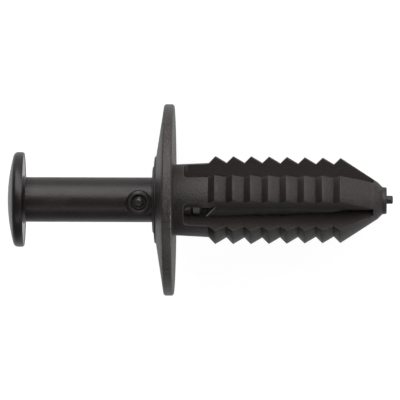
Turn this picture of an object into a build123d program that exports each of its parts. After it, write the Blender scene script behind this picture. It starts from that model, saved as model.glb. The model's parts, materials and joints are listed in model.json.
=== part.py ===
from build123d import *
from math import asin, atan2, cos, degrees, radians, sin, sqrt
import os

# Push-in trim clip with its drive pin pulled out, in millimetres.
# Heights run along the clip's own axis: 0 is the flange face that presses on the panel,
# positive towards the nose, negative towards the head of the pin.

# Flange and stepped hub
flange_dia = 22.0
rim_thickness = 1.1
rim_chamfer = 0.15
hub_dia = 10.0
hub_height = 2.04
hub_step = 0.16
hub_face_rise = 0.12
boss_dia = 7.6
boss_step = 0.11
boss_face_rise = 0.06
hub_chamfer = 0.06

# Stem: plain collar, saw teeth, conical nose and what is left of the moulding gate
collar_dia = 8.14
collar_end_dia = 8.54
collar_length = 4.0
tooth_count = 8
straight_teeth = 3
tooth_dia = 10.14
tooth_taper = 0.068
tooth_depth = 0.77
tooth_flank = 0.76
tooth_pitch = 2.053
cone_length = 4.26
cone_end_dia = 4.26
shoulder_length = 0.57
nose_dia = 3.14
nose_tip_dia = 3.04
nose_length = 0.48
nose_chamfer = 0.08
nub_dia = 0.94
nub_length = 0.71
nub_offset = 0.1
nub_turn = -73.0
nub_chamfer = 0.1

# Slots between the legs: two legs have parallel sides, the two between them are wedges
flat_leg_width = 3.1
slit_angle = 59.8
slit_width = 0.2
slit_end_width = 0.5
slot_start = 1.19
slot_end = 22.93
slot_corner = 0.45

# Web at the bottom of each slot, and the slanted end where it gives way to an open window
web_dia = 5.78
web_shoulder_height = 12.4
web_shoulder_dia = 5.62
web_step_height = 15.0
web_step_dia = 4.8
web_neck_height = 18.2
web_neck_dia = 4.68
web_waist_height = 19.1
web_waist_dia = 4.36
web_end_dia = 3.6
window_near = 3.55
window_far = 4.82

# Drive pin
shaft_dia = 5.146
shaft_end = -2.4
head_dia = 10.9
head_face = -17.27
head_thickness = 1.82
dome_radius = 19.5
dome_edge_round = 0.55
head_face_chamfer = 0.1
head_root_chamfer = 0.25
tip_dia = 4.4
tip_taper_length = 2.4
tip_length = 3.3
tip_chamfer = 0.3
groove_middle = 2.05
groove_width = 0.4
groove_depth = 0.2

# Round moulding mark in the side of the pin: a flat recess, a hole in it and a broken stub
mark_height = -3.97
mark_turn = 26.0
recess_dia = 2.88
recess_floor = 2.13
mark_hole_dia = 1.84
mark_hole_depth = 0.55
stub_dia = 0.8
stub_height = 0.36

# Fits
pin_clearance = 0.04
mouth_chamfer = 0.42
bore_end_gap = 0.1
stop_gap = 0.02

# Radii and heights that follow
rim_r = flange_dia / 2
hub_r = hub_dia / 2
boss_r = boss_dia / 2
shaft_r = shaft_dia / 2
tip_r = tip_dia / 2
head_r = head_dia / 2
bore_r = shaft_r + pin_clearance
tip_bore_r = tip_r + pin_clearance
hub_edge = -hub_height - hub_step
boss_base = hub_edge - hub_face_rise
boss_edge = boss_base - boss_step
hub_top = boss_edge - boss_face_rise
pin_travel = hub_top - head_face - stop_gap
tip_start = shaft_end + tip_taper_length
pin_end = tip_start + tip_length
head_apex = head_face - head_thickness
reach = rim_r


def tooth_radius(index):
    """Radius of a tooth's crest: the first few are alike, the rest shrink towards the nose."""
    return tooth_dia / 2 - tooth_taper / 2 * max(0, index - straight_teeth + 1)


def tooth_height(index):
    """Height of a tooth's crest over the flange face."""
    return collar_length + tooth_flank + index * tooth_pitch


cone_r = tooth_radius(tooth_count - 1)
cone_start = tooth_height(tooth_count - 1)
cone_end = cone_start + cone_length
nose_start = cone_end + shoulder_length
nose_end = nose_start + nose_length
nub_end = nose_end + nub_length

# The clip lies on the flange's rim and on the last tooth's two corners across one slot.
# Its tilt is that of the line through the edge of the rim and both corners.
flat_side = degrees(asin(flat_leg_width / 2 / cone_r))
wedge_side = slit_angle + degrees(asin(slit_width / 2 / cone_r))
slot_middle = (flat_side + wedge_side) / 2
corner_drop = cone_r * cos(radians(wedge_side - slot_middle))
tilt = atan2(rim_r - corner_drop, cone_start + rim_chamfer)

# Frame of the whole object: +X towards the nose, +Y across, +Z up, and the origin under the
# middle of its box. The box ends at the rounding of the pin's head and at the gate nub.
dome_centre = head_apex + dome_radius
rim_height = dome_centre - sqrt(dome_radius**2 - head_r**2)
edge_r = head_r - dome_edge_round
edge_height = dome_centre - sqrt((dome_radius - dome_edge_round) ** 2 - edge_r**2)
left_end = edge_height * cos(tilt) - edge_r * sin(tilt) - dome_edge_round
nub_edge_r = nub_dia / 2 - nub_chamfer + nub_offset * cos(radians(nub_turn - slot_middle))
right_end = nub_end * cos(tilt) + nub_edge_r * sin(tilt)
axis_height = rim_r * cos(tilt) - rim_chamfer * sin(tilt)

centre = Vector(-(left_end + right_end) / 2, 0, axis_height)
nose_way = Vector(cos(tilt), 0, -sin(tilt))
up_way = Vector(sin(tilt), 0, cos(tilt))
side_way = Vector(0, 1, 0)
leg_way = up_way * cos(radians(slot_middle)) + side_way * sin(radians(slot_middle))

# Plane of the flange face: its z axis points to the nose, its x axis to a leg with parallel sides
clip = Plane(origin=centre, x_dir=leg_way, z_dir=nose_way)
clip_axis = Axis(centre, nose_way)


def outward(angle):
    """Direction away from the clip's axis, turned from the leg with parallel sides."""
    return clip.x_dir * cos(radians(angle)) + clip.y_dir * sin(radians(angle))


def section(angle=0.0):
    """Plane that holds the axis: x is the radius, y the height."""
    return Plane(origin=centre, x_dir=outward(angle), z_dir=outward(angle).cross(nose_way))


def facing(angle, height):
    """Plane square to a radius, on the axis: x runs round the clip, y to the nose."""
    way = outward(angle)
    return Plane(origin=centre + nose_way * height, x_dir=nose_way.cross(way), z_dir=way)


def nearest(corners, points):
    """The corners that lie nearest to the given points."""
    return [corners.sort_by_distance(Vector(*point))[0] for point in points]


# Slits: the direction of each, and the side on which it widens towards the nose
slits = [
    (slit_angle, -1),
    (-slit_angle, 1),
    (180 - slit_angle, 1),
    (180 + slit_angle, -1),
]


os.makedirs("parts", exist_ok=True)

# Web between the legs, as a turned core with one slanted end, for a single slot
with BuildPart() as web:
    with BuildSketch(section()):
        Polygon(
            (0, slot_start),
            (web_dia / 2, slot_start),
            (web_shoulder_dia / 2, web_shoulder_height),
            (web_step_dia / 2, web_step_height),
            (web_neck_dia / 2, web_neck_height),
            (web_waist_dia / 2, web_waist_height),
            (web_end_dia / 2, slot_end),
            (0, slot_end),
            align=None,
        )
    revolve(axis=clip_axis)
    leg_corner = degrees(asin(flat_leg_width / web_dia))
    web_width = web_dia / 2 * sin(radians(slit_angle - leg_corner))
    slant = (window_far - window_near) / web_width
    with BuildSketch(facing(slit_angle, 0)):
        Polygon(
            (-web_dia, 0),
            (web_dia, 0),
            (web_dia, window_near - slant * web_dia),
            (-web_dia, window_near + slant * web_dia),
            align=None,
        )
    extrude(amount=reach, mode=Mode.SUBTRACT)

# Space of the slots: one is drawn beside a leg with parallel sides, and mirrored to all four
with BuildPart() as slots:
    wall = flat_leg_width / 2
    turn = radians(slit_angle)
    foot = (wall * cos(turn) - slit_width / 2) / sin(turn)
    far = (
        reach * cos(turn) - slit_width / 2 * sin(turn),
        reach * sin(turn) + slit_width / 2 * cos(turn),
    )
    with BuildSketch(clip.offset(slot_start)):
        Polygon((foot, wall), (reach, wall), (reach, far[1]), far, align=None)
    extrude(amount=slot_end - slot_start)
    bottom = clip.offset(slot_start).from_local_coords(Vector(foot, wall, 0))
    fillet(slots.edges().group_by(clip_axis)[0].sort_by_distance(bottom)[:2], slot_corner)
    add(web.part, mode=Mode.SUBTRACT)
    mirror(about=Plane(origin=centre, z_dir=clip.y_dir))
    mirror(about=Plane(origin=centre, z_dir=clip.x_dir))

# Clip body: flange, hub, stem and nose are one turned outline, then bored and slotted
with BuildPart() as clip_body:
    with BuildSketch(section()) as outline:
        teeth = []
        for i in range(tooth_count):
            teeth.append((tooth_radius(i), tooth_height(i)))
            if i < tooth_count - 1:
                valley = tooth_height(i + 1) - tooth_flank
                teeth.append((tooth_radius(i) - tooth_depth, valley))
        Polygon(
            (0, hub_top),
            (shaft_r, hub_top),
            (boss_r, boss_edge),
            (boss_r, boss_base),
            (hub_r, hub_edge),
            (hub_r, -hub_height),
            (rim_r, -rim_thickness),
            (rim_r, 0),
            (collar_dia / 2, 0),
            (collar_end_dia / 2, collar_length),
            *teeth,
            (cone_end_dia / 2, cone_end),
            (nose_dia / 2, nose_start),
            (nose_tip_dia / 2, nose_end),
            (0, nose_end),
            align=None,
        )
        chamfer(nearest(outline.vertices(), [(rim_r, -rim_thickness), (rim_r, 0)]), rim_chamfer)
        chamfer(nearest(outline.vertices(), [(boss_r, boss_edge), (hub_r, hub_edge)]), hub_chamfer)
        chamfer(nearest(outline.vertices(), [(nose_tip_dia / 2, nose_end)]), nose_chamfer)
    revolve(axis=clip_axis)

    with BuildSketch(section()):
        Polygon(
            (0, hub_top),
            (bore_r + mouth_chamfer, hub_top),
            (bore_r, hub_top + mouth_chamfer),
            (bore_r, shaft_end + pin_travel),
            (tip_bore_r, tip_start + pin_travel),
            (tip_bore_r, pin_end + pin_travel + bore_end_gap),
            (0, pin_end + pin_travel + bore_end_gap),
            align=None,
        )
    revolve(axis=clip_axis, mode=Mode.SUBTRACT)

    add(slots.part, mode=Mode.SUBTRACT)
    slit_start = slot_start + slot_corner
    for angle, flat_leg_side in slits:
        with BuildSketch(facing(angle, 0)):
            Polygon(
                (-flat_leg_side * slit_width / 2, slit_start),
                (flat_leg_side * slit_width / 2, slit_start),
                (flat_leg_side * (slit_end_width - slit_width / 2), slot_end),
                (-flat_leg_side * slit_width / 2, slot_end),
                align=None,
            )
        extrude(amount=hub_r, mode=Mode.SUBTRACT)

    with BuildSketch(clip.offset(nose_end - nose_chamfer)):
        with PolarLocations(nub_offset, 1, start_angle=nub_turn):
            Circle(nub_dia / 2)
    extrude(amount=nub_length + nose_chamfer)
    chamfer(clip_body.edges().group_by(clip_axis)[-1], nub_chamfer)

clip_body.part.label = "clip_body"
export_step(clip_body.part, "parts/clip_body.step")

# Drive pin: domed head, plain shaft, and a thin grooved tip inside the clip
with BuildPart() as drive_pin:
    with BuildSketch(section()) as pin_outline:
        with BuildLine():
            RadiusArc((0, head_apex), (head_r, rim_height), -dome_radius)
            Polyline(
                (head_r, rim_height),
                (head_r, head_face),
                (shaft_r, head_face),
                (shaft_r, shaft_end),
                (tip_r, tip_start),
                (tip_r, groove_middle - groove_width / 2),
                (tip_r - groove_depth, groove_middle),
                (tip_r, groove_middle + groove_width / 2),
                (tip_r, pin_end),
                (0, pin_end),
                (0, head_apex),
            )
        make_face()
        fillet(nearest(pin_outline.vertices(), [(head_r, rim_height)]), dome_edge_round)
        chamfer(nearest(pin_outline.vertices(), [(shaft_r, head_face)]), head_root_chamfer)
        chamfer(nearest(pin_outline.vertices(), [(head_r, head_face)]), head_face_chamfer)
        chamfer(nearest(pin_outline.vertices(), [(tip_r, pin_end)]), tip_chamfer)
    revolve(axis=clip_axis)

    mark = facing(mark_turn, mark_height)
    with BuildSketch(mark.offset(recess_floor)):
        Circle(recess_dia / 2)
    extrude(amount=shaft_r, mode=Mode.SUBTRACT)
    with BuildSketch(mark.offset(recess_floor - mark_hole_depth)):
        Circle(mark_hole_dia / 2)
    extrude(amount=mark_hole_depth, mode=Mode.SUBTRACT)
    with BuildSketch(mark.offset(recess_floor - mark_hole_depth)):
        Circle(stub_dia / 2)
    extrude(amount=stub_height)

drive_pin.part.label = "drive_pin"
export_step(drive_pin.part, "parts/drive_pin.step")

print(f"tilt {degrees(tilt):.3f} degrees, pin travel {pin_travel:.3f} mm")
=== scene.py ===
import json
from collections import namedtuple
from math import cos, pi, radians, sin

import bmesh
import bpy
import mathutils
from mathutils import Matrix, Vector


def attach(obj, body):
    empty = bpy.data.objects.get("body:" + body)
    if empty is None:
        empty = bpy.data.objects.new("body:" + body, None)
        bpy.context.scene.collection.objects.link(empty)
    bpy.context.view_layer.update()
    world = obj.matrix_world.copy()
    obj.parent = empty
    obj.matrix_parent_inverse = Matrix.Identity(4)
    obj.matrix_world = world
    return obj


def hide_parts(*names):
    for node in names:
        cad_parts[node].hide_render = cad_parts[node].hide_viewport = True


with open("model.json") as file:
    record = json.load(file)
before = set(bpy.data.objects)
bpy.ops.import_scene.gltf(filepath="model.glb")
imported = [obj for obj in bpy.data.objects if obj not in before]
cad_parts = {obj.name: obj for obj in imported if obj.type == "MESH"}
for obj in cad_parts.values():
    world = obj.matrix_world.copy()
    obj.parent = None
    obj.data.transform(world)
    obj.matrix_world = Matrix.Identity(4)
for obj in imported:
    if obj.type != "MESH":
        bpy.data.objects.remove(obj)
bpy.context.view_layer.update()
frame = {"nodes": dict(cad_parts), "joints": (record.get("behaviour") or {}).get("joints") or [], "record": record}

# Directions of the clip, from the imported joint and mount: its axis runs from the pin's head
# to the nose, and the flange face is where the mount says. A height below is measured along
# the axis from that face, and a radius from the axis.
nose_way = Vector(frame["joints"][0]["axis"]).normalized()
side_way = Vector((0, 1, 0))
up_way = nose_way.cross(side_way)
mounts = {m["name"]: m for m in frame["record"]["mounts"]}
flange_face = Vector(mounts["panel_seat"]["pos_m"])

# The camera looks nearly square to the clip's axis, from above and a little to the +Y side
frame_width = 0.04595
camera_distance = 1.0
camera_reach = 10.0
camera_lean = radians(22.94)
camera_turn = radians(1.5)
camera_roll = radians(0.2)
sensor_width = 36.0
view_height = 0.002995
view_middle = flange_face + nose_way * view_height

# Moulded edges
weld_distance = 0.000001
flat_angle = radians(0.5)
edge_width = 0.00006
edge_steps = 2
round_angle = radians(50)
crease_angle = radians(27)
narrow_face = 0.00018

# Web between the legs, which the pin's bore keeps fuller in the solids than it looks
web_step_height = 0.0124
web_step_reach = 0.0001
web_packed_radius = 0.00281
web_packed_reach = 0.00004
web_seen_radius = 0.00263

# Edges with no room for a rounding: those of the web up to a radius, and the ends of the slots
web_reach = 0.0029
web_heights = (0.0028, 0.0205)
slot_end_heights = (0.0204, 0.0231)

# Flat side of the pin's tip, and the groove across it
tip_start = 0.0009
tip_flat = 0.002
tip_flat_match = 0.9998
groove_radius = 0.00205
groove_sink = 0.0001

# Moulding mark in the side of the pin: rings from its rim to its middle, as radius and height
# over the recess floor. Its wall dips between two angles, and its middle is the roughest.
mark_height = -0.00397
mark_angle = radians(13.7)
mark_floor = 0.00213
mark_rings = [
    (0.00147, -0.00050),
    (0.00146, -0.00012),
    (0.00142, -0.00005),
    (0.00136, 0.00000),
    (0.00125, 0.00005),
    (0.00112, 0.00010),
    (0.00102, 0.00013),
    (0.00096, 0.00011),
    (0.00092, 0.00000),
    (0.00088, -0.00030),
    (0.00081, -0.00034),
    (0.00076, -0.00018),
    (0.00070, -0.00012),
    (0.00066, -0.00014),
    (0.00062, -0.00018),
    (0.00056, -0.00010),
    (0.00048, -0.00002),
    (0.00040, 0.00005),
    (0.00030, 0.00010),
    (0.00020, 0.00012),
    (0.00010, 0.00013),
]
mark_sides = 72
mark_wall_radius = 0.00138
mark_gap = (radians(95), radians(145))
mark_gap_depth = 0.00012
mark_stub_radius = 0.00065
mark_stub_rough = 0.00008
mark_rough = 0.00003
lumps_per_metre = 2200
fine_lumps = 3
fine_share = 0.3

# Lip round the underside of the pin's head: its section, as radius and height over that face
head_face = -0.01727
lip_section = [(0.00538, -0.00005), (0.00538, 0.00004), (0.00534, 0.00005), (0.00531, -0.00005)]
lip_sides = 120

# Mould texture of both pieces: fine grain, broad clouds, and dust
grain_size = 0.00014
cloud_size = 0.0028
cloud_detail = 4.0
noise_levels = (0.3, 0.7)
grain_shade = (0.6, 1.4)
cloud_shade = (0.85, 1.15)
roughness_spread = 0.04
dust_colour = (0.13, 0.125, 0.12, 1)
dust_spacing = 0.0008
dust_size = 0.00004
dust_growth = 1.6
dust_levels = (0.55, 1.0)
face_reach = 0.00002

# A finish is a roughness, and the share of the grain's relief that it keeps
Finish = namedtuple("Finish", "roughness relief")

# Body
body_colour = (0.0208, 0.0154, 0.0152)
body_roughness = 0.44
body_gloss = 1.45
body_grain = 0.00006

# Flange: its speckled rim, patches of painted light on the rim's side towards the fill lamp, flash on the rim, its
# faces
rim_radii = (0.01072, 0.01082)
rim_dark = (0.0064, 0.005, 0.0049, 1)
rim_pale = (0.061, 0.049, 0.0475, 1)
rim_levels = (0.35, 0.65)
rim_finish = Finish(0.38, 1.0)
seat_radius = 0.0042
seat_finish = Finish(0.4, 0.85)
cone_height = -0.0013
cone_finish = Finish(0.4, 0.8)
# Patches of painted light on the side of the rim that faces the fill lamp
painted_bounce_colour = (0.06, 0.056, 0.053, 1)
painted_bounce_angle = radians(-27)
painted_bounce_reach = (0.0085, 0.0104)
painted_bounce_size = 0.0005
painted_bounce_detail = 3.0
painted_bounce_levels = (0.2, 0.6)
flash_colour = (0.13, 0.125, 0.12, 1)
flash_angle = radians(7)
flash_reach = (0.0105, 0.0108)
flash_height = 0.0001
flash_size = 0.0003
flash_depth = 0.0004

# Stem: painted light on the walls of the slots and the bore, paler on the ones towards the camera, and painted
# highlights on the window's edges
wall_levels = (0.6, 0.8)
wall_heights = (0.001, 0.023)
painted_inside_light = (0.0283, 0.0226, 0.0222, 1)
bore_radius = 0.00262
painted_wall_light = (0.075, 0.068, 0.066, 1)
pale_share = 0.9
pale_margin = 0.0003
window_edge_highlight = (0.085, 0.079, 0.077, 1)
window_slant = (0.27, 0.93)
window_heights = (0.0011, 0.0039)
window_radii = (0.0038, 0.0046)

# Painted highlight in a line on the web along a window's slanted end, from one height and angle to another, and
# the broken gate at the nose
slant_highlight_colour = (0.24, 0.232, 0.226, 1)
slant_highlight_width = 0.0001
slant_highlight_edge = 0.7
slant_highlight_radius = 0.00291
slant_highlight_start = (0.00362, -0.351)
slant_highlight_end = (0.00478, 0.11)
stub_heights = (0.02444, 0.02447)
stub_finish = Finish(0.16, 1.0)

# Pin: its shaft, its tip with the flat side and painted light, its gate mark and its head
pin_colour = (0.0162, 0.0118, 0.0115)
pin_roughness = 0.34
pin_gloss = 1.44
pin_grain = 0.000025
painted_tip_light = (0.06, 0.0545, 0.053, 1)
tip_blend = 0.0001
tip_finish = Finish(0.34, 0.1)
flat_rise = (0.0017, 0.0018)
flat_finish = Finish(0.17, 0.2)
tip_end_height = 0.00305
tip_end_finish = Finish(0.6, 1.0)
mark_colour = (0.036, 0.0315, 0.0305, 1)
mark_edge = (0.0014, 0.00143)
mark_polished = 0.00075
head_colour = (0.0088, 0.006, 0.0059, 1)
head_blend = 0.0001
head_finish = Finish(0.29, 0.8)
underside_finish = Finish(0.18, 0.15)

# Light and background
lamp_distance = 0.24
key_width = 0.5
key_height = 0.34
key_angle = radians(51)
key_swing = radians(16)
key_radiance = 2.9
fill_width = 0.5
fill_height = 0.06
fill_angle = radians(-48)
fill_swing = radians(10)
fill_radiance = 1.25
zenith_level = 0.12
horizon_level = 0.35
floor_size = 3.0
floor_colour = (0.7, 0.7, 0.7, 1)
floor_shadow = (0.3, 0.3, 0.3, 1)
floor_white = 0.9
floor_gleam = 0.45

# A material in the making: its nodes, and the point, height and radius that they work from
Skin = namedtuple("Skin", "material tree shader place height radius")


def out_way(angle):
    """Direction square to the clip's axis, turned from the top of the clip towards +Y."""
    return up_way * cos(angle) + side_way * sin(angle)


def clip_point(height, radius, angle):
    """Point at a height and radius, turned from the top of the clip towards +Y."""
    return flange_face + nose_way * height + out_way(angle) * radius


def along(point):
    """Height of a point over the flange face, towards the nose."""
    return (point - flange_face).dot(nose_way)


def off_axis(point):
    """The part of a point's place that is square to the clip's axis."""
    return point - flange_face - nose_way * along(point)


def new_material(name):
    """An empty node material and its node tree."""
    material = bpy.data.materials.new(name)
    material.use_nodes = True
    material.node_tree.nodes.clear()
    return material, material.node_tree


def add_node(tree, kind, inputs, **settings):
    """A shader node with its settings; an input is a plain value or another node's output."""
    item = tree.nodes.new("ShaderNode" + kind)
    for name, value in settings.items():
        setattr(item, name, value)
    for socket, value in inputs.items():
        if isinstance(value, bpy.types.NodeSocket):
            tree.links.new(value, item.inputs[socket])
        else:
            item.inputs[socket].default_value = value
    return item


def math(tree, operation, *numbers):
    """Result of a sum, product or other operation on one or two numbers."""
    inputs = dict(enumerate(numbers))
    return add_node(tree, "Math", inputs, operation=operation).outputs["Value"]


def vector(tree, operation, *vectors):
    """Vector that an operation on one or two vectors gives."""
    inputs = dict(enumerate(vectors))
    return add_node(tree, "VectorMath", inputs, operation=operation).outputs["Vector"]


def measure(tree, operation, *vectors):
    """Number that an operation on one or two vectors gives, such as a length."""
    inputs = dict(enumerate(vectors))
    return add_node(tree, "VectorMath", inputs, operation=operation).outputs["Value"]


def scaled(tree, direction, amount):
    """A vector times a number."""
    inputs = {0: direction, "Scale": amount}
    return add_node(tree, "VectorMath", inputs, operation="SCALE").outputs["Vector"]


def step(tree, value, levels, results=(0.0, 1.0)):
    """A value that goes smoothly from one result to another between two levels of a value."""
    inputs = {
        "Value": value,
        "From Min": levels[0],
        "From Max": levels[1],
        "To Min": results[0],
        "To Max": results[1],
    }
    item = add_node(tree, "MapRange", inputs, interpolation_type="SMOOTHSTEP")
    return item.outputs["Result"]


def above(tree, value, level):
    """1 where a value is over a level, and 0 elsewhere."""
    return math(tree, "GREATER_THAN", value, level)


def below(tree, value, level):
    """1 where a value is under a level, and 0 elsewhere."""
    return math(tree, "LESS_THAN", value, level)


def both(tree, *amounts):
    """Product of masks: 1 where all of them are 1."""
    total = amounts[0]
    for amount in amounts[1:]:
        total = math(tree, "MULTIPLY", total, amount)
    return total


def either(tree, first, second):
    """1 where one mask or the other is 1."""
    return math(tree, "MAXIMUM", first, second)


def within(tree, value, levels):
    """1 where a value is between two levels, and 0 elsewhere."""
    return both(tree, above(tree, value, levels[0]), below(tree, value, levels[1]))


def on_face(tree, height, level):
    """1 on a flat face that is square to the axis at a height, and 0 elsewhere."""
    return within(tree, height, (level - face_reach, level + face_reach))


def noise(tree, place, size, detail=2.0):
    """Even noise from 0 to 1 whose lumps have the given size."""
    inputs = {"Vector": place, "Scale": 1 / size, "Detail": detail}
    return add_node(tree, "TexNoise", inputs).outputs["Fac"]


def blend_colour(tree, amount, first, second):
    """Colour between two others."""
    item = add_node(tree, "Mix", {"Factor": amount}, data_type="RGBA")
    for socket, colour in (("A", first), ("B", second)):
        target = [i for i in item.inputs if i.name == socket and i.type == "RGBA"][0]
        if isinstance(colour, bpy.types.NodeSocket):
            tree.links.new(colour, target)
        else:
            target.default_value = colour
    return [o for o in item.outputs if o.type == "RGBA"][0]


def from_face(tree, place):
    """Vector from the middle of the flange face to a point."""
    return vector(tree, "SUBTRACT", place, flange_face)


def clip_place(tree):
    """Point on the piece at rest, its height over the flange face and its radius."""
    place = add_node(tree, "TexCoord", {}).outputs["Object"]
    arm = from_face(tree, place)
    height = measure(tree, "DOT_PRODUCT", arm, nose_way)
    radius = measure(tree, "LENGTH", vector(tree, "CROSS_PRODUCT", arm, nose_way))
    return place, height, radius


def dust(tree, place):
    """Sparse specks of dust: 1 on a speck and 0 elsewhere."""
    inputs = {"Vector": place, "Scale": 1 / dust_spacing}
    cells = add_node(tree, "TexVoronoi", inputs)
    kept = add_node(tree, "SeparateXYZ", {"Vector": cells.outputs["Color"]}).outputs["X"]
    largest = dust_growth * dust_size / dust_spacing
    reach = math(tree, "MULTIPLY", step(tree, kept, dust_levels), largest)
    return below(tree, cells.outputs["Distance"], reach)


def near_line(tree, place, start, end, width):
    """1 on a straight line between two points, and 0 beyond its width."""
    way = (end - start).normalized()
    arm = vector(tree, "SUBTRACT", place, start)
    run = math(tree, "MAXIMUM", measure(tree, "DOT_PRODUCT", arm, way), 0.0)
    run = math(tree, "MINIMUM", run, (end - start).length)
    gap = measure(tree, "DISTANCE", arm, scaled(tree, way, run))
    return step(tree, gap, (width * slant_highlight_edge, width), (1.0, 0.0))


def nylon(name, colour, roughness, gloss, relief):
    """Black moulded nylon with a fine matte mould texture of a given depth."""
    material, tree = new_material(name)
    place, height, radius = clip_place(tree)
    cloud = noise(tree, place, cloud_size, cloud_detail)
    grain = noise(tree, place, grain_size)

    shade = step(tree, cloud, noise_levels, cloud_shade)
    shade = math(tree, "MULTIPLY", shade, step(tree, grain, noise_levels, grain_shade))
    base = blend_colour(tree, dust(tree, place), scaled(tree, colour, shade), dust_colour)
    spread = (roughness - roughness_spread, roughness + roughness_spread)
    polish = step(tree, cloud, noise_levels, spread)
    inputs = {"Strength": 1.0, "Distance": relief, "Height": grain}
    bump = add_node(tree, "Bump", inputs).outputs["Normal"]
    inputs = {"Base Color": base, "Roughness": polish, "Normal": bump, "IOR": gloss}
    shader = add_node(tree, "BsdfPrincipled", inputs)
    add_node(tree, "OutputMaterial", {"Surface": shader.outputs["BSDF"]})
    return Skin(material, tree, shader, place, height, radius)


def recolour(skin, amount, colour):
    """Blends a colour over the shader's own where the amount is above 0."""
    socket = skin.shader.inputs["Base Color"]
    own = socket.links[0].from_socket
    skin.tree.links.new(blend_colour(skin.tree, amount, own, colour), socket)


def blend_value(tree, socket, amount, value):
    """Blends a value over the one that a socket has where the amount is above 0."""
    own = socket.links[0].from_socket if socket.links else socket.default_value
    kept = math(tree, "MULTIPLY", own, math(tree, "SUBTRACT", 1.0, amount))
    tree.links.new(math(tree, "ADD", kept, math(tree, "MULTIPLY", amount, value)), socket)


def refinish(skin, amount, finish):
    """Blends a finish over the shader's own where the amount is above 0."""
    blend_value(skin.tree, skin.shader.inputs["Roughness"], amount, finish.roughness)
    bump = skin.shader.inputs["Normal"].links[0].from_node
    blend_value(skin.tree, bump.inputs["Strength"], amount, finish.relief)


def finish_flange(skin):
    """The flange's speckled rim with patches of painted light on its side towards the fill lamp and its flash, and
    its two faces.
    """
    tree, height = skin.tree, skin.height
    rim = step(tree, skin.radius, rim_radii)
    speckle = step(tree, noise(tree, skin.place, grain_size), rim_levels)
    recolour(skin, rim, blend_colour(tree, speckle, rim_dark, rim_pale))
    refinish(skin, rim, rim_finish)

    seat = both(tree, above(tree, skin.radius, seat_radius), on_face(tree, height, 0.0))
    refinish(skin, seat, seat_finish)
    cone = both(tree, below(tree, height, cone_height), math(tree, "SUBTRACT", 1.0, rim))
    refinish(skin, cone, cone_finish)

    arm = from_face(tree, skin.place)
    # Paler patches on the rim's side towards the fill lamp: painted light from there
    side = measure(tree, "DOT_PRODUCT", arm, out_way(painted_bounce_angle))
    patches = step(tree, noise(tree, skin.place, painted_bounce_size, painted_bounce_detail), painted_bounce_levels)
    recolour(skin, both(tree, rim, step(tree, side, painted_bounce_reach), patches), painted_bounce_colour)

    side = measure(tree, "DOT_PRODUCT", arm, out_way(flash_angle))
    ragged = math(tree, "MULTIPLY", noise(tree, skin.place, flash_size), flash_depth)
    ragged = above(tree, math(tree, "ADD", height, ragged), flash_height)
    recolour(skin, both(tree, rim, step(tree, side, flash_reach), ragged), flash_colour)


def paint_stem_light(skin):
    """Painted light on the walls of the stem's slots and bore, and painted highlights on the edges of its windows
    and in a line on its web.
    """
    tree, height, radius = skin.tree, skin.height, skin.radius
    arm = from_face(tree, skin.place)
    tangent = vector(tree, "NORMALIZE", vector(tree, "CROSS_PRODUCT", nose_way, arm))
    radial = vector(tree, "CROSS_PRODUCT", tangent, nose_way)
    normal = add_node(tree, "TexCoord", {}).outputs["Normal"]
    turned = measure(tree, "DOT_PRODUCT", tangent, normal)

    # Walls of the slots and the bore painted lighter: painted light inside, where little reaches
    wall = step(tree, math(tree, "ABSOLUTE", turned), wall_levels)
    bore = below(tree, radius, bore_radius)
    inner = both(tree, either(tree, wall, bore), within(tree, height, wall_heights))
    recolour(skin, inner, painted_inside_light)

    # Upper walls, and the bore short of the web's step, painted paler still: more painted light
    upper = above(tree, measure(tree, "DOT_PRODUCT", radial, up_way), pale_share)
    upper_wall = both(tree, upper, step(tree, turned, wall_levels))
    bore = both(tree, bore, below(tree, height, web_step_height - pale_margin))
    recolour(skin, both(tree, either(tree, bore, upper_wall), inner), painted_wall_light)

    # Painted highlight on the rounded edges round the window's end
    slant = math(tree, "ABSOLUTE", measure(tree, "DOT_PRODUCT", radial, normal))
    window = both(
        tree,
        within(tree, slant, window_slant),
        within(tree, height, window_heights),
        within(tree, radius, window_radii),
    )
    recolour(skin, window, window_edge_highlight)

    # Painted highlight in a line along the slanted end of the window's web
    start, end = [clip_point(h, slant_highlight_radius, angle) for h, angle in (slant_highlight_start, slant_highlight_end)]
    recolour(skin, near_line(tree, skin.place, start, end, slant_highlight_width), slant_highlight_colour)


def body_nylon():
    """The body's nylon, rougher than the pin's, with its flange, stem and broken gate, and painted light on the
    rim and the stem.
    """
    skin = nylon("body_nylon", body_colour, body_roughness, body_gloss, body_grain)
    finish_flange(skin)
    paint_stem_light(skin)
    refinish(skin, step(skin.tree, skin.height, stub_heights), stub_finish)
    return skin.material


def pin_nylon():
    """The pin's nylon, with painted light on its polished tip, its broken gate and head."""
    skin = nylon("pin_nylon", pin_colour, pin_roughness, pin_gloss, pin_grain)
    tree, height = skin.tree, skin.height
    tip = step(tree, height, (tip_start - tip_blend, tip_start))
    # The tip, which shows through the window, painted lighter: painted light where little reaches it
    recolour(skin, tip, painted_tip_light)
    away = measure(tree, "DISTANCE", skin.place, clip_point(mark_height, mark_floor, mark_angle))
    recolour(skin, step(tree, away, mark_edge, (1.0, 0.0)), mark_colour)

    rise = measure(tree, "DOT_PRODUCT", from_face(tree, skin.place), up_way)
    flat = both(tree, tip, step(tree, rise, flat_rise))
    stub = below(tree, away, mark_polished)
    refinish(skin, tip, tip_finish)
    refinish(skin, either(tree, flat, stub), flat_finish)
    refinish(skin, above(tree, height, tip_end_height), tip_end_finish)

    head = below(tree, height, head_face + head_blend)
    recolour(skin, head, head_colour)
    refinish(skin, head, head_finish)
    refinish(skin, on_face(tree, height, head_face), underside_finish)
    return skin.material


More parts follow.
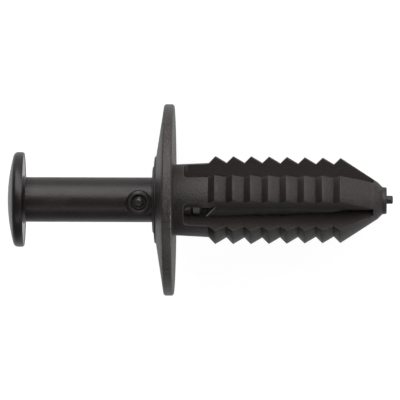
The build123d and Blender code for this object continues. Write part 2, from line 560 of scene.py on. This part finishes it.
def floor_material():
    """Pale floor with the object's soft shadow, which the camera sees as white."""
    material, tree = new_material("floor_paint")
    plain = add_node(tree, "BsdfDiffuse", {"Color": floor_colour})
    shadow = add_node(tree, "BsdfDiffuse", {"Color": floor_shadow})
    glow = add_node(tree, "Emission", {"Strength": floor_white})
    white = add_node(tree, "AddShader", {0: shadow.outputs["BSDF"], 1: glow.outputs["Emission"]})
    path = add_node(tree, "LightPath", {})
    gleam = math(tree, "MULTIPLY", path.outputs["Is Glossy Ray"], floor_gleam)
    seen = either(tree, path.outputs["Is Camera Ray"], gleam)
    inputs = {0: seen, 1: plain.outputs["BSDF"], 2: white.outputs["Shader"]}
    mix = add_node(tree, "MixShader", inputs)
    add_node(tree, "OutputMaterial", {"Surface": mix.outputs["Shader"]})
    return material


def new_piece(name, mesh, material):
    """A piece with one material, in the scene."""
    mesh.materials.clear()
    mesh.materials.append(material)
    piece = bpy.data.objects.new(name, mesh)
    bpy.context.scene.collection.objects.link(piece)
    return piece


def narrow(face):
    """True for a chamfer or a rounding, whose shading runs on into the faces beside it."""
    longest = max(edge.calc_length() for edge in face.edges)
    return face.calc_area() < narrow_face * longest


def sink_web(form):
    """The web between the legs falls away evenly from its window to its step."""
    for vert in form.verts:
        across = off_axis(vert.co)
        at_step = abs(along(vert.co) - web_step_height) < web_step_reach
        if at_step and abs(across.length - web_packed_radius) < web_packed_reach:
            vert.co += across.normalized() * (web_seen_radius - across.length)


def flatten_tip(form):
    """The pin's tip is flat on the side that shows through the window, and grooved across."""
    for vert in form.verts:
        if along(vert.co) > tip_start:
            across = off_axis(vert.co)
            if tip_flat - groove_sink < across.length < groove_radius:
                vert.co -= across.normalized() * groove_sink
            elif across.dot(up_way) > tip_flat:
                vert.co += up_way * (tip_flat - across.dot(up_way))


def on_flat(face):
    """True for a face of the flat side of the pin's tip."""
    return face.normal.dot(up_way) > tip_flat_match and along(face.calc_center_median()) > tip_start


def edge_the_flat(form):
    """A crisp border round the flat side of the pin's tip."""
    for edge in form.edges:
        flat = [on_flat(face) for face in edge.link_faces]
        if len(flat) == 2 and flat[0] != flat[1]:
            edge.smooth = False


def no_room(edge):
    """True for an edge of the thin web or of a slot's end, which has no room for a rounding."""
    heights = [along(vert.co) for vert in edge.verts]
    near_bore = all(off_axis(vert.co).length < web_reach for vert in edge.verts)
    on_web = near_bore and all(web_heights[0] < height < web_heights[1] for height in heights)
    return on_web or all(slot_end_heights[0] < height < slot_end_heights[1] for height in heights)


def round_edges(form):
    """Rounds the sharp outer edges as a mould leaves them, and marks the inner ones."""
    for face in form.faces:
        face.smooth = True
    corners = [edge for edge in form.edges if len(edge.link_faces) == 2]
    sharp = [
        edge
        for edge in corners
        if edge.is_convex and edge.calc_face_angle() > round_angle and not no_room(edge)
    ]
    bmesh.ops.bevel(
        form,
        geom=sharp,
        offset=edge_width,
        offset_type="OFFSET",
        segments=edge_steps,
        profile=0.5,
        affect="EDGES",
        clamp_overlap=False,
    )
    for edge in form.edges:
        turn = edge.calc_face_angle() if len(edge.link_faces) == 2 else 0
        if turn > crease_angle:
            edge.smooth = (
                edge.is_convex
                and turn < round_angle
                and any(narrow(face) for face in edge.link_faces)
            )


def moulded(node, material, reshape):
    """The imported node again, reshaped, with its sharp edges slightly rounded as by a mould."""
    mesh = frame["nodes"][node].data.copy()
    mesh.name = node + "_moulded"
    form = bmesh.new()
    form.from_mesh(mesh)
    bmesh.ops.remove_doubles(form, verts=form.verts, dist=weld_distance)
    bmesh.ops.dissolve_limit(form, angle_limit=flat_angle, verts=form.verts, edges=form.edges)
    reshape(form)
    round_edges(form)
    edge_the_flat(form)
    form.to_mesh(mesh)
    form.free()
    piece = new_piece(node + "_moulded", mesh, material)
    weights = piece.modifiers.new("even shading", "WEIGHTED_NORMAL")
    weights.mode = "FACE_AREA_WITH_ANGLE"
    weights.keep_sharp = True
    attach(piece, node)
    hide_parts(node)


def circle(sides):
    """Angles of a ring's points."""
    return [2 * pi * i / sides for i in range(sides)]


def skin_rings(form, rings):
    """Faces between each ring of points and the next."""
    for outer, inner in zip(rings, rings[1:]):
        for i in range(len(outer)):
            j = (i + 1) % len(outer)
            form.faces.new((outer[i], outer[j], inner[j], inner[i]))


def add_to_pin(name, form, material):
    """Makes a form into a piece that rides on the pin."""
    mesh = bpy.data.meshes.new(name)
    form.to_mesh(mesh)
    form.free()
    piece = new_piece(name, mesh, material)
    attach(piece, "drive_pin")


def mark_lump(spot, radius, turn):
    """Uneven height of the broken gate at a point."""
    rough = mark_stub_rough if radius < mark_stub_radius else mark_rough
    fine = mathutils.noise.noise(spot * fine_lumps) * fine_share
    lump = rough * (mathutils.noise.noise(spot) + fine)
    if radius > mark_wall_radius and mark_gap[0] < turn < mark_gap[1]:
        lump -= mark_gap_depth
    return lump


def add_mark(material):
    """The broken gate in the side of the pin, in rings that are bent and uneven."""
    out = out_way(mark_angle)
    across = nose_way.cross(out)
    middle = clip_point(mark_height, mark_floor, mark_angle)
    form = bmesh.new()
    rings = []
    for radius, height in mark_rings:
        ring = []
        for turn in circle(mark_sides):
            arm = (nose_way * cos(turn) + across * sin(turn)) * radius
            lump = mark_lump(arm * lumps_per_metre, radius, turn)
            ring.append(form.verts.new(middle + arm + out * (height + lump)))
        rings.append(ring)
    skin_rings(form, rings)
    form.faces.new(rings[-1])
    for face in form.faces:
        face.smooth = True
    form.faces.new(reversed(rings[0]))
    add_to_pin("gate_mark", form, material)


def add_lip(material):
    """The thin lip of flash round the underside of the pin's head."""
    form = bmesh.new()
    rings = []
    for radius, height in lip_section:
        spots = [clip_point(head_face + height, radius, turn) for turn in circle(lip_sides)]
        rings.append([form.verts.new(spot) for spot in spots])
    skin_rings(form, rings + rings[:1])
    bmesh.ops.recalc_face_normals(form, faces=form.faces)
    add_to_pin("head_lip", form, material)


def add_floor():
    """A wide floor under the clip, which isn't part of it."""
    half = floor_size / 2
    mesh = bpy.data.meshes.new("floor")
    corners = [(-half, -half, 0), (half, -half, 0), (half, half, 0), (-half, half, 0)]
    mesh.from_pydata(corners, [], [(0, 1, 2, 3)])
    new_piece("floor", mesh, floor_material())


def aim(way, up):
    """Rotation whose z axis is the given direction and whose y axis is near up."""
    right = up.cross(way).normalized()
    top = way.cross(right)
    return Matrix((right, top, way)).transposed().to_4x4()


def view_axes():
    """Directions from the object to the camera, and up in the picture."""
    way = out_way(camera_lean)
    top = side_way * cos(camera_lean) - up_way * sin(camera_lean)
    turned = Matrix.Rotation(camera_turn, 3, top) @ way
    return turned, Matrix.Rotation(camera_roll, 3, turned) @ top


def add_camera():
    """The camera, far off with a long lens, so that the view has little perspective."""
    way, top = view_axes()
    data = bpy.data.cameras.new("camera")
    data.sensor_width = sensor_width
    data.lens = sensor_width * camera_distance / frame_width
    data.clip_end = camera_reach
    camera = bpy.data.objects.new("camera", data)
    bpy.context.scene.collection.objects.link(camera)
    spot = view_middle + way * camera_distance
    camera.matrix_world = Matrix.Translation(spot) @ aim(way, top)
    bpy.context.scene.camera = camera


def add_softbox(name, width, height, angle, swing, radiance):
    """Soft lamp at an angle from the camera towards the top of the picture and the nose."""
    way, top = view_axes()
    direction = way * cos(angle) + top * sin(angle)
    direction = direction * cos(swing) + nose_way * sin(swing)
    data = bpy.data.lights.new(name, "AREA")
    data.shape = "RECTANGLE"
    data.size = height
    data.size_y = width
    data.energy = radiance * pi * width * height
    light = bpy.data.objects.new(name, data)
    bpy.context.scene.collection.objects.link(light)
    spot = view_middle + direction * lamp_distance
    light.matrix_world = Matrix.Translation(spot) @ aim(direction, nose_way)


def set_sky():
    """Dim studio walls: darker overhead than round the horizon."""
    world = bpy.data.worlds.new("sky")
    bpy.context.scene.world = world
    world.use_nodes = True
    tree = world.node_tree
    place = add_node(tree, "TexCoord", {}).outputs["Generated"]
    height = add_node(tree, "SeparateXYZ", {"Vector": place}).outputs["Z"]
    level = step(tree, height, (0.0, 1.0), (horizon_level, zenith_level))
    tree.links.new(level, tree.nodes["Background"].inputs["Color"])


moulded("clip_body", body_nylon(), sink_web)
pin_material = pin_nylon()
moulded("drive_pin", pin_material, flatten_tip)
add_mark(pin_material)
add_lip(pin_material)
add_floor()
add_camera()
add_softbox("key", key_width, key_height, key_angle, key_swing, key_radiance)
add_softbox("fill", fill_width, fill_height, fill_angle, fill_swing, fill_radiance)
set_sky()
bpy.context.scene.view_settings.view_transform = "Standard"
